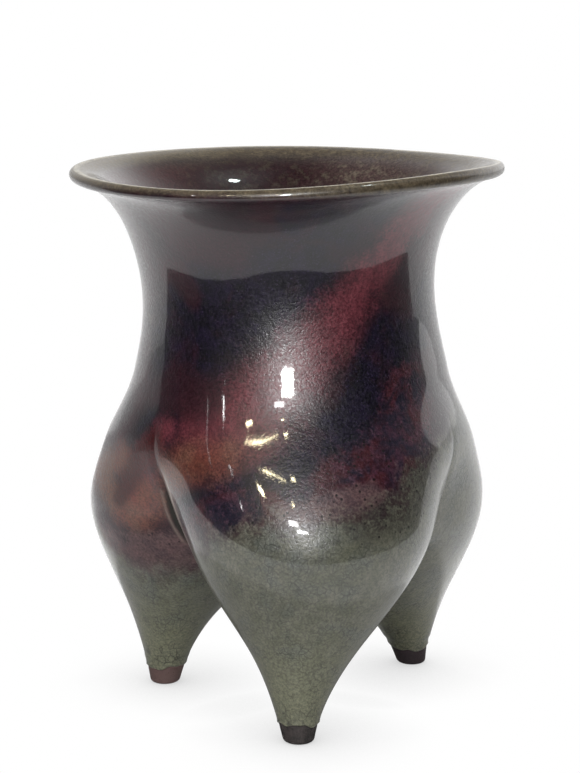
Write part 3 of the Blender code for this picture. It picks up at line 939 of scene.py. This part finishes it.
def glaze():
    """The running glaze: a slightly rough body under a clear coat with sharp reflections."""
    nodes = GlazeNodes()
    base = nodes.mix(nodes.green, nodes.upper_body(), nodes.legs())
    base = nodes.mix(nodes.field("inside"), base, nodes.inside())
    base = nodes.mix(nodes.rim, base, nodes.lip())
    # A painted highlight along the crest of the lip
    crest_highlight = nodes.times(nodes.field("crest_highlight"), nodes.step(nodes.blotch, 0.3, 0.6, 0.4, 1))
    base = nodes.speckled(nodes.mix(crest_highlight, base, colour(150, 144, 126)))
    cracks = nodes.crackle()
    shown = nodes.times(cracks, nodes.step(nodes.green, 0, 1, 0.08, 0.75))
    base = nodes.mix(shown, base, colour(42, 41, 36))
    # Painted shade, highlights and reflection beside the left cleft
    for name, strength, tone in CLEFT_PAINTED_LIGHT:
        base = nodes.mix(nodes.times(nodes.field(name), strength), base, colour(*tone))
    skin = nodes.calculate("MULTIPLY_ADD", nodes.grain, 0.5, nodes.times(nodes.mottle, 0.8))
    skin = nodes.calculate("MULTIPLY_ADD", cracks, -0.12, skin)
    sand = nodes.step(nodes.dust, 0.5, 0.74)
    pimples = nodes.calculate("MULTIPLY_ADD", sand, 0.25, nodes.times(nodes.blotch, 0.08))
    return nodes.principled({
        "Base Color": base,
        "Roughness": nodes.step(nodes.grain, 0.3, 0.7, 0.3, 0.46),
        "Specular IOR Level": 0.3,
        "Normal": nodes.bump(skin, 0.5),
        "Coat Weight": nodes.coat(),
        "Coat Roughness": 0.035,
        "Coat Normal": nodes.bump(pimples, 0.022),
    })


def bare_clay():
    """The dark clay of the foot tips, reddish at the left and violet at the right."""
    nodes = Nodes(bpy.data.materials.new("bare_clay"), "Object")
    blotch = nodes.noise(0.004, 4, 0.6)
    grain = nodes.noise(0.0007, 3, 0.7)
    base = nodes.over(colour(34, 30, 30), blotch, 0.35, 0.65, colour(54, 47, 46))
    reddish = nodes.mix(blotch, colour(78, 56, 54), colour(100, 80, 76))
    base = nodes.over(base, nodes.field("tone"), 0.5, 1, reddish)
    violet = nodes.mix(blotch, colour(34, 22, 26), colour(56, 38, 44))
    base = nodes.over(base, nodes.field("tone"), 0.5, 0, violet)
    base = nodes.over(base, grain, 0.6, 0.75, colour(28, 22, 23))
    return nodes.principled({
        "Base Color": base,
        "Roughness": nodes.step(grain, 0.3, 0.7, 0.62, 0.8),
        "Specular IOR Level": 0.3,
        "Normal": nodes.bump(nodes.calculate("MULTIPLY_ADD", grain, 0.6, blotch), 0.5),
    })


def pot_mesh():
    """Both skins, joined along the inner edge of the lip, with the fields of colour."""
    outer = Skin(inner=False)
    outer_points, outer_faces = outer.surface()
    inner_points, inner_faces = Skin(inner=True).surface()
    count = len(outer_points)
    faces = outer_faces + [[corner + count for corner in face] for face in inner_faces]
    even = np.concatenate([outer_points, inner_points])
    points = out_of_true(even)
    fields = colour_fields(points)
    fields["inside"] = np.arange(len(points)) >= count
    # Where the painted highlight along the crest of the lip shows
    fields["crest_highlight"] = fading(even[:, 2].max() - even[:, 2], CREST_HIGHLIGHT_DEPTH, 1.5)
    outside_only = {"bare": below_glaze(outer_points), "groove": outer.groove_depth(outer_points)}
    outside_only.update(outer.cleft_painted_light(outer_points))
    for name, values in outside_only.items():
        fields[name] = np.concatenate([values, np.zeros(len(inner_points))])
    mesh = bpy.data.meshes.new("glazed_pot")
    mesh.from_pydata(points.tolist(), [], faces)
    for name, values in fields.items():
        mesh.attributes.new(name, "FLOAT", "POINT").data.foreach_set("value", values.astype(float))
    joined = bmesh.new()
    joined.from_mesh(mesh)
    bmesh.ops.remove_doubles(joined, verts=joined.verts, dist=SAME_POINT)
    joined.to_mesh(mesh)
    joined.free()
    return mesh


def glazed_pot():
    """The whole pot, glazed but for the tips of its feet."""
    mesh = pot_mesh()
    mesh.materials.append(glaze())
    mesh.materials.append(bare_clay())
    bare = read(mesh.attributes["bare"].data, "value") > 0.5
    for polygon in mesh.polygons:
        if all(bare[corner] for corner in polygon.vertices):
            polygon.material_index = 1
    hand_work(mesh)
    mesh.shade_smooth()
    pot = add("glazed_pot", mesh)
    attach(pot, "root")
    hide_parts("burner_body")


def add(name, data):
    """A new object in the scene."""
    thing = bpy.data.objects.new(name, data)
    bpy.context.collection.objects.link(thing)
    return thing


# Edge of the white sheet that the pot stands on, from the middle of its front round the right half
SHEET_MIDDLE = (0, -0.337)
SHEET_HALF = (
    (0.19, -0.325), (0.3, -0.27), (0.39, -0.17), (0.43, -0.04), (0.45, 0.1), (3.6, 1.35), (3.6, 6.0),
)
SHEET_WHITE = 0.88
# The pot's shade in reflections: middle, radius, half the width of its soft edge, what is left of the white
SHADE_MIDDLE = (-0.022, -0.006, 0)
SHADE_RADIUS = 0.138
SHADE_SOFT = 0.008
SHADE_WHITE = 0.42
# For the camera it is only darker close to the pot: reach of that shade, how open to the sky the sheet is
# where the shade is full and where it ends, and how bright the full shade is
CONTACT_REACH = 0.05
CONTACT_OPEN = (0.2, 0.95)
CONTACT_SHADE = 0.62
WHITE = (1, 1, 1, 1)


def sheet():
    """The white sheet. Only the glaze's reflections show the pot's shade on it."""
    mesh = bpy.data.meshes.new("sheet")
    edge = [*((-x, y) for x, y in reversed(SHEET_HALF)), SHEET_MIDDLE, *SHEET_HALF]
    mesh.from_pydata([(x, y, 0) for x, y in edge], [], [list(range(len(edge)))])
    nodes = Nodes(bpy.data.materials.new("sheet"), "Object")
    rays = nodes.make("ShaderNodeLightPath")
    inputs = {0: nodes.place, 1: SHADE_MIDDLE}
    away = nodes.make("ShaderNodeVectorMath", inputs, operation="DISTANCE")["Value"]
    shade = nodes.step(away, SHADE_RADIUS - SHADE_SOFT, SHADE_RADIUS + SHADE_SOFT, SHADE_WHITE, SHEET_WHITE)
    shade = nodes.number(rays["Is Glossy Ray"], SHEET_WHITE, shade)
    tone = nodes.make("ShaderNodeCombineColor", {0: shade, 1: shade, 2: shade})[0]
    white = nodes.make("ShaderNodeBsdfDiffuse", {"Color": tone})[0]
    open_sky = nodes.make("ShaderNodeAmbientOcclusion", {"Distance": CONTACT_REACH}, samples=8)["AO"]
    shown = nodes.step(open_sky, *CONTACT_OPEN, CONTACT_SHADE, 1)
    glow = nodes.make("ShaderNodeEmission", {"Color": WHITE, "Strength": shown})[0]
    both = nodes.make("ShaderNodeMixShader", {0: rays["Is Camera Ray"], 1: white, 2: glow})[0]
    nodes.make("ShaderNodeOutputMaterial", {"Surface": both})
    mesh.materials.append(nodes.owner)
    add("sheet", mesh)


# How bright the dark room in front of the pot is
ROOM = 0.018
# Edge of the white room behind it: half the width within which its lean and its shift change from left to
# right, the lean at both, the shift at the right, and where the white sets in and is full
ROOM_TURN = 0.2
ROOM_SLOPES = (0.43, 0.95)
ROOM_SHIFT = 0.113
ROOM_EDGE = (0.328, 0.346)
# How white it is at the left and at the right, how far out those lie, between which heights it fades
# upwards, and what is left of it there
BACKDROP = (0.46, 1.6)
BACKDROP_SIDE = 0.9
BACKDROP_FADES = (0.35, 0.75)
BACKDROP_TOP = 0.12


def studio():
    """A white room behind and beside the pot and a dark one in front. The camera sees plain white."""
    world = bpy.data.worlds.new("studio")
    bpy.context.scene.world = world
    nodes = Nodes(world, "Generated")
    way = nodes.make("ShaderNodeSeparateXYZ", {0: nodes.place})
    slope = nodes.step(way["X"], -ROOM_TURN, ROOM_TURN, *ROOM_SLOPES)
    shift = nodes.step(way["X"], -ROOM_TURN, ROOM_TURN, 0, ROOM_SHIFT)
    behind = nodes.calculate("SUBTRACT", nodes.calculate("MULTIPLY_ADD", way["Z"], slope, way["Y"]), shift)
    side = nodes.step(way["X"], -BACKDROP_SIDE, BACKDROP_SIDE, *BACKDROP)
    top = nodes.step(way["Z"], *BACKDROP_FADES, 1, BACKDROP_TOP)
    lit = nodes.calculate("MULTIPLY_ADD", nodes.step(behind, *ROOM_EDGE), nodes.times(side, top), ROOM)
    strength = nodes.number(nodes.make("ShaderNodeLightPath")["Is Camera Ray"], lit, 1)
    background = nodes.make("ShaderNodeBackground", {"Color": WHITE, "Strength": strength})[0]
    nodes.make("ShaderNodeOutputWorld", {"Surface": background})


WARM = (1, 0.88, 0.55)
COOL = (0.85, 1, 0.97)
# Soft light from above: strength, softness in degrees and the way to it
OVERHEAD = 2.3
OVERHEAD_SOFTNESS = 40
OVERHEAD_WAY = (0.1, 0.05, 1)
# How far away the lamps stand, and at which height above the floor they are aimed
LAMP_DISTANCE = 2.0
LAMP_AIM = 0.13
# Each lamp: name, azimuth and elevation in degrees, width, height, strength. The first lights the glaze and
# the others only show as reflections on it
FILL_LAMP = ("front_fill", -12, 32, 1.6, 1.2, 1)
WHITE_LAMPS = (
    ("window", -2.2, 12.8, 0.24, 0.014, 1.4),
    ("window_below", -8.4, 18.0, 0.22, 0.14, 0.09),
    ("slit", -49.0, 16.8, 0.03, 0.36, 0.04),
    ("slit_beside", -61.0, 16.0, 0.012, 0.3, 0.002),
)
WARM_LAMPS = (
    ("warm_spot", -30.8, 26.2, 0.13, 0.045, 0.055),
    ("warm_spot", -7.1, 28.5, 0.05, 0.03, 0.014),
    ("warm_spot", -6.0, 34.5, 0.08, 0.02, 0.014),
)
COOL_LAMPS = (("ceiling_spot", 60, 61, 0.16, 0.08, 0.16),)
# A row of small warm lamps: how many, their width and height, the first azimuth, the step between two, where
# the row is highest and how it falls off from there
ROW_LAMPS = 10
ROW_SIZE = (0.085, 0.012)
ROW_START = -34.7
ROW_STEP = 2.4
ROW_HIGHEST = (-12.0, 33.4)
ROW_FALL = 0.0083
# Where the row is brightest, how far that reaches, and the strengths there and elsewhere
ROW_BRIGHTEST = (-28.0, 8.0, 0.012, 0.003)


def warm_row():
    """The lamps of the row, given as the other lamps are."""
    middle, reach, bright, faint = ROW_BRIGHTEST
    row = []
    for step in range(ROW_LAMPS):
        azimuth = ROW_START + ROW_STEP * step
        elevation = ROW_HIGHEST[1] - ROW_FALL * (azimuth - ROW_HIGHEST[0]) ** 2
        strength = faint + (bright - faint) * math.exp(-(((azimuth - middle) / reach) ** 2))
        row.append(("warm_row", azimuth, elevation, *ROW_SIZE, strength))
    return row


def lamp(name, azimuth, elevation, width, tall, strength, tint=WHITE, only="glossy"):
    """A lamp that faces the pot. Its strength is how bright it makes white there, and only says whether it
    lights the diffuse or the glossy part."""
    data = bpy.data.lights.new(name, "AREA")
    data.shape = "RECTANGLE"
    data.size = width
    data.size_y = tall
    data.energy = strength * math.pi**2 * LAMP_DISTANCE**2
    data.color = tint[:3]
    light = add(name, data)
    level = towards(math.radians(azimuth)) * math.cos(math.radians(elevation))
    way = Vector((*level, math.sin(math.radians(elevation))))
    light.location = way * LAMP_DISTANCE + Vector((0, 0, LAMP_AIM))
    light.rotation_euler = way.to_track_quat("Z", "Y").to_euler()
    light.visible_glossy = only == "glossy"
    light.visible_diffuse = only == "diffuse"
    light.visible_camera = False


def lamps():
    data = bpy.data.lights.new("overhead", "SUN")
    data.energy = OVERHEAD
    data.angle = math.radians(OVERHEAD_SOFTNESS)
    sun = add("overhead", data)
    sun.rotation_euler = Vector(OVERHEAD_WAY).to_track_quat("Z", "Y").to_euler()
    sun.visible_glossy = False
    lamp(*FILL_LAMP, only="diffuse")
    for tint, group in ((WHITE, WHITE_LAMPS), (WARM, [*WARM_LAMPS, *warm_row()]), (COOL, COOL_LAMPS)):
        for values in group:
            lamp(*values, tint)


# The camera: its place, how many degrees it looks down and to the right, the height of its sensor and its
# focal length as a share of that
EYE = (0, -0.928, 0.3233)
LOOKS_DOWN = 11.41
LOOKS_RIGHT = 0.075
SENSOR = 24.0
FOCAL_SHARE = 2220 / 773


def camera():
    data = bpy.data.cameras.new("camera")
    data.sensor_fit = "VERTICAL"
    data.sensor_height = SENSOR
    data.lens = FOCAL_SHARE * SENSOR
    eye = add("camera", data)
    eye.location = EYE
    eye.rotation_euler = (math.radians(90 - LOOKS_DOWN), 0, math.radians(-LOOKS_RIGHT))
    bpy.context.scene.camera = eye


glazed_pot()
sheet()
studio()
lamps()
camera()
bpy.context.scene.view_settings.view_transform = "Standard"
